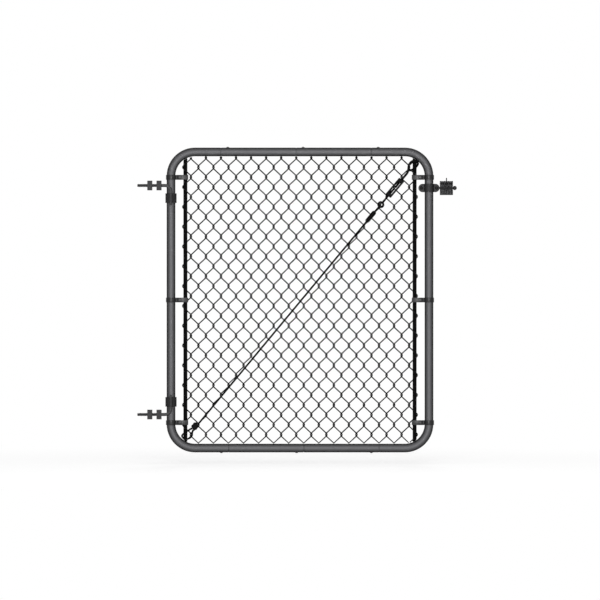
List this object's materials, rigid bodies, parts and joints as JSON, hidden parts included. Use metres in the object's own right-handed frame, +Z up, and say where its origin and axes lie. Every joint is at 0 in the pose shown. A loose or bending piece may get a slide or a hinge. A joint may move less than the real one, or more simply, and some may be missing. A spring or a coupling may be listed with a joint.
{
  "type": "chain link gate",
  "caption": "Single swing chain link gate: round tubular frame, woven wire, pin hinges, drop-catch latch and a diagonal truss cable with turnbuckle",
  "frame": {"origin": "on the axis of the lower hinge bolt, on the flat face that its near block turns to the post or bracket", "axes": "+X from the hinges to the latch, +Y away from the viewer, +Z up; the gate is closed and the catch is down"},
  "size_m": [1.2767, 0.0924, 1.2192],
  "materials": {
    "powder_coat": "satin charcoal powder coat",
    "black_steel": "satin black coat",
    "coated_wire": "black coated steel wire",
    "latch_steel": "satin dark grey coat",
    "pin_steel": "dark zinc plate",
    "cable_steel": "black coated steel"
  },
  "bodies": {
    "post_hardware": {"hinge_bolt_upper": "black_steel", "hinge_bolt_lower": "black_steel", "hinge_block_upper_near": "powder_coat", "hinge_block_upper_far": "powder_coat", "hinge_block_lower_near": "powder_coat", "hinge_block_lower_far": "powder_coat", "latch_housing": "latch_steel", "latch_pivot_pin": "pin_steel"},
    "leaf": {"frame_side_hinge": "powder_coat", "frame_side_latch": "powder_coat", "top_rail_hinge_side": "powder_coat", "top_rail_latch_side": "powder_coat", "bottom_rail_hinge_side": "powder_coat", "bottom_rail_latch_side": "powder_coat", "tension_bar_hinge": "black_steel", "tension_bar_latch": "black_steel", "tension_band_hinge_upper": "powder_coat", "tension_band_hinge_middle": "powder_coat", "tension_band_hinge_lower": "powder_coat", "tension_band_latch_upper": "powder_coat", "tension_band_latch_middle": "powder_coat", "tension_band_latch_lower": "powder_coat", "fabric_hinge_half": "coated_wire", "fabric_latch_half": "coated_wire", "hinge_clamp_upper": "powder_coat", "hinge_clamp_lower": "powder_coat", "latch_plate_front": "latch_steel", "latch_plate_back": "latch_steel", "latch_strike": "latch_steel", "truss_cable": "cable_steel", "cable_ferrule": "cable_steel", "cable_clip": "cable_steel", "turnbuckle_eye": "cable_steel", "turnbuckle_body": "cable_steel", "turnbuckle_hook": "cable_steel"},
    "catch": {"latch_catch": "latch_steel"}
  },
  "joints": [
    {"name": "leaf_swing", "type": "hinge", "parent": "post_hardware", "child": "leaf", "pos_m": [0.0565, 0, 0.4572], "axis": [0, 0, -1], "range_deg": [0, 110]},
    {"name": "catch_lift", "type": "hinge", "parent": "post_hardware", "child": "catch", "pos_m": [1.158, 0.036, 0.923], "axis": [-1, 0, 0], "range_deg": [0, 50]}
  ]
}
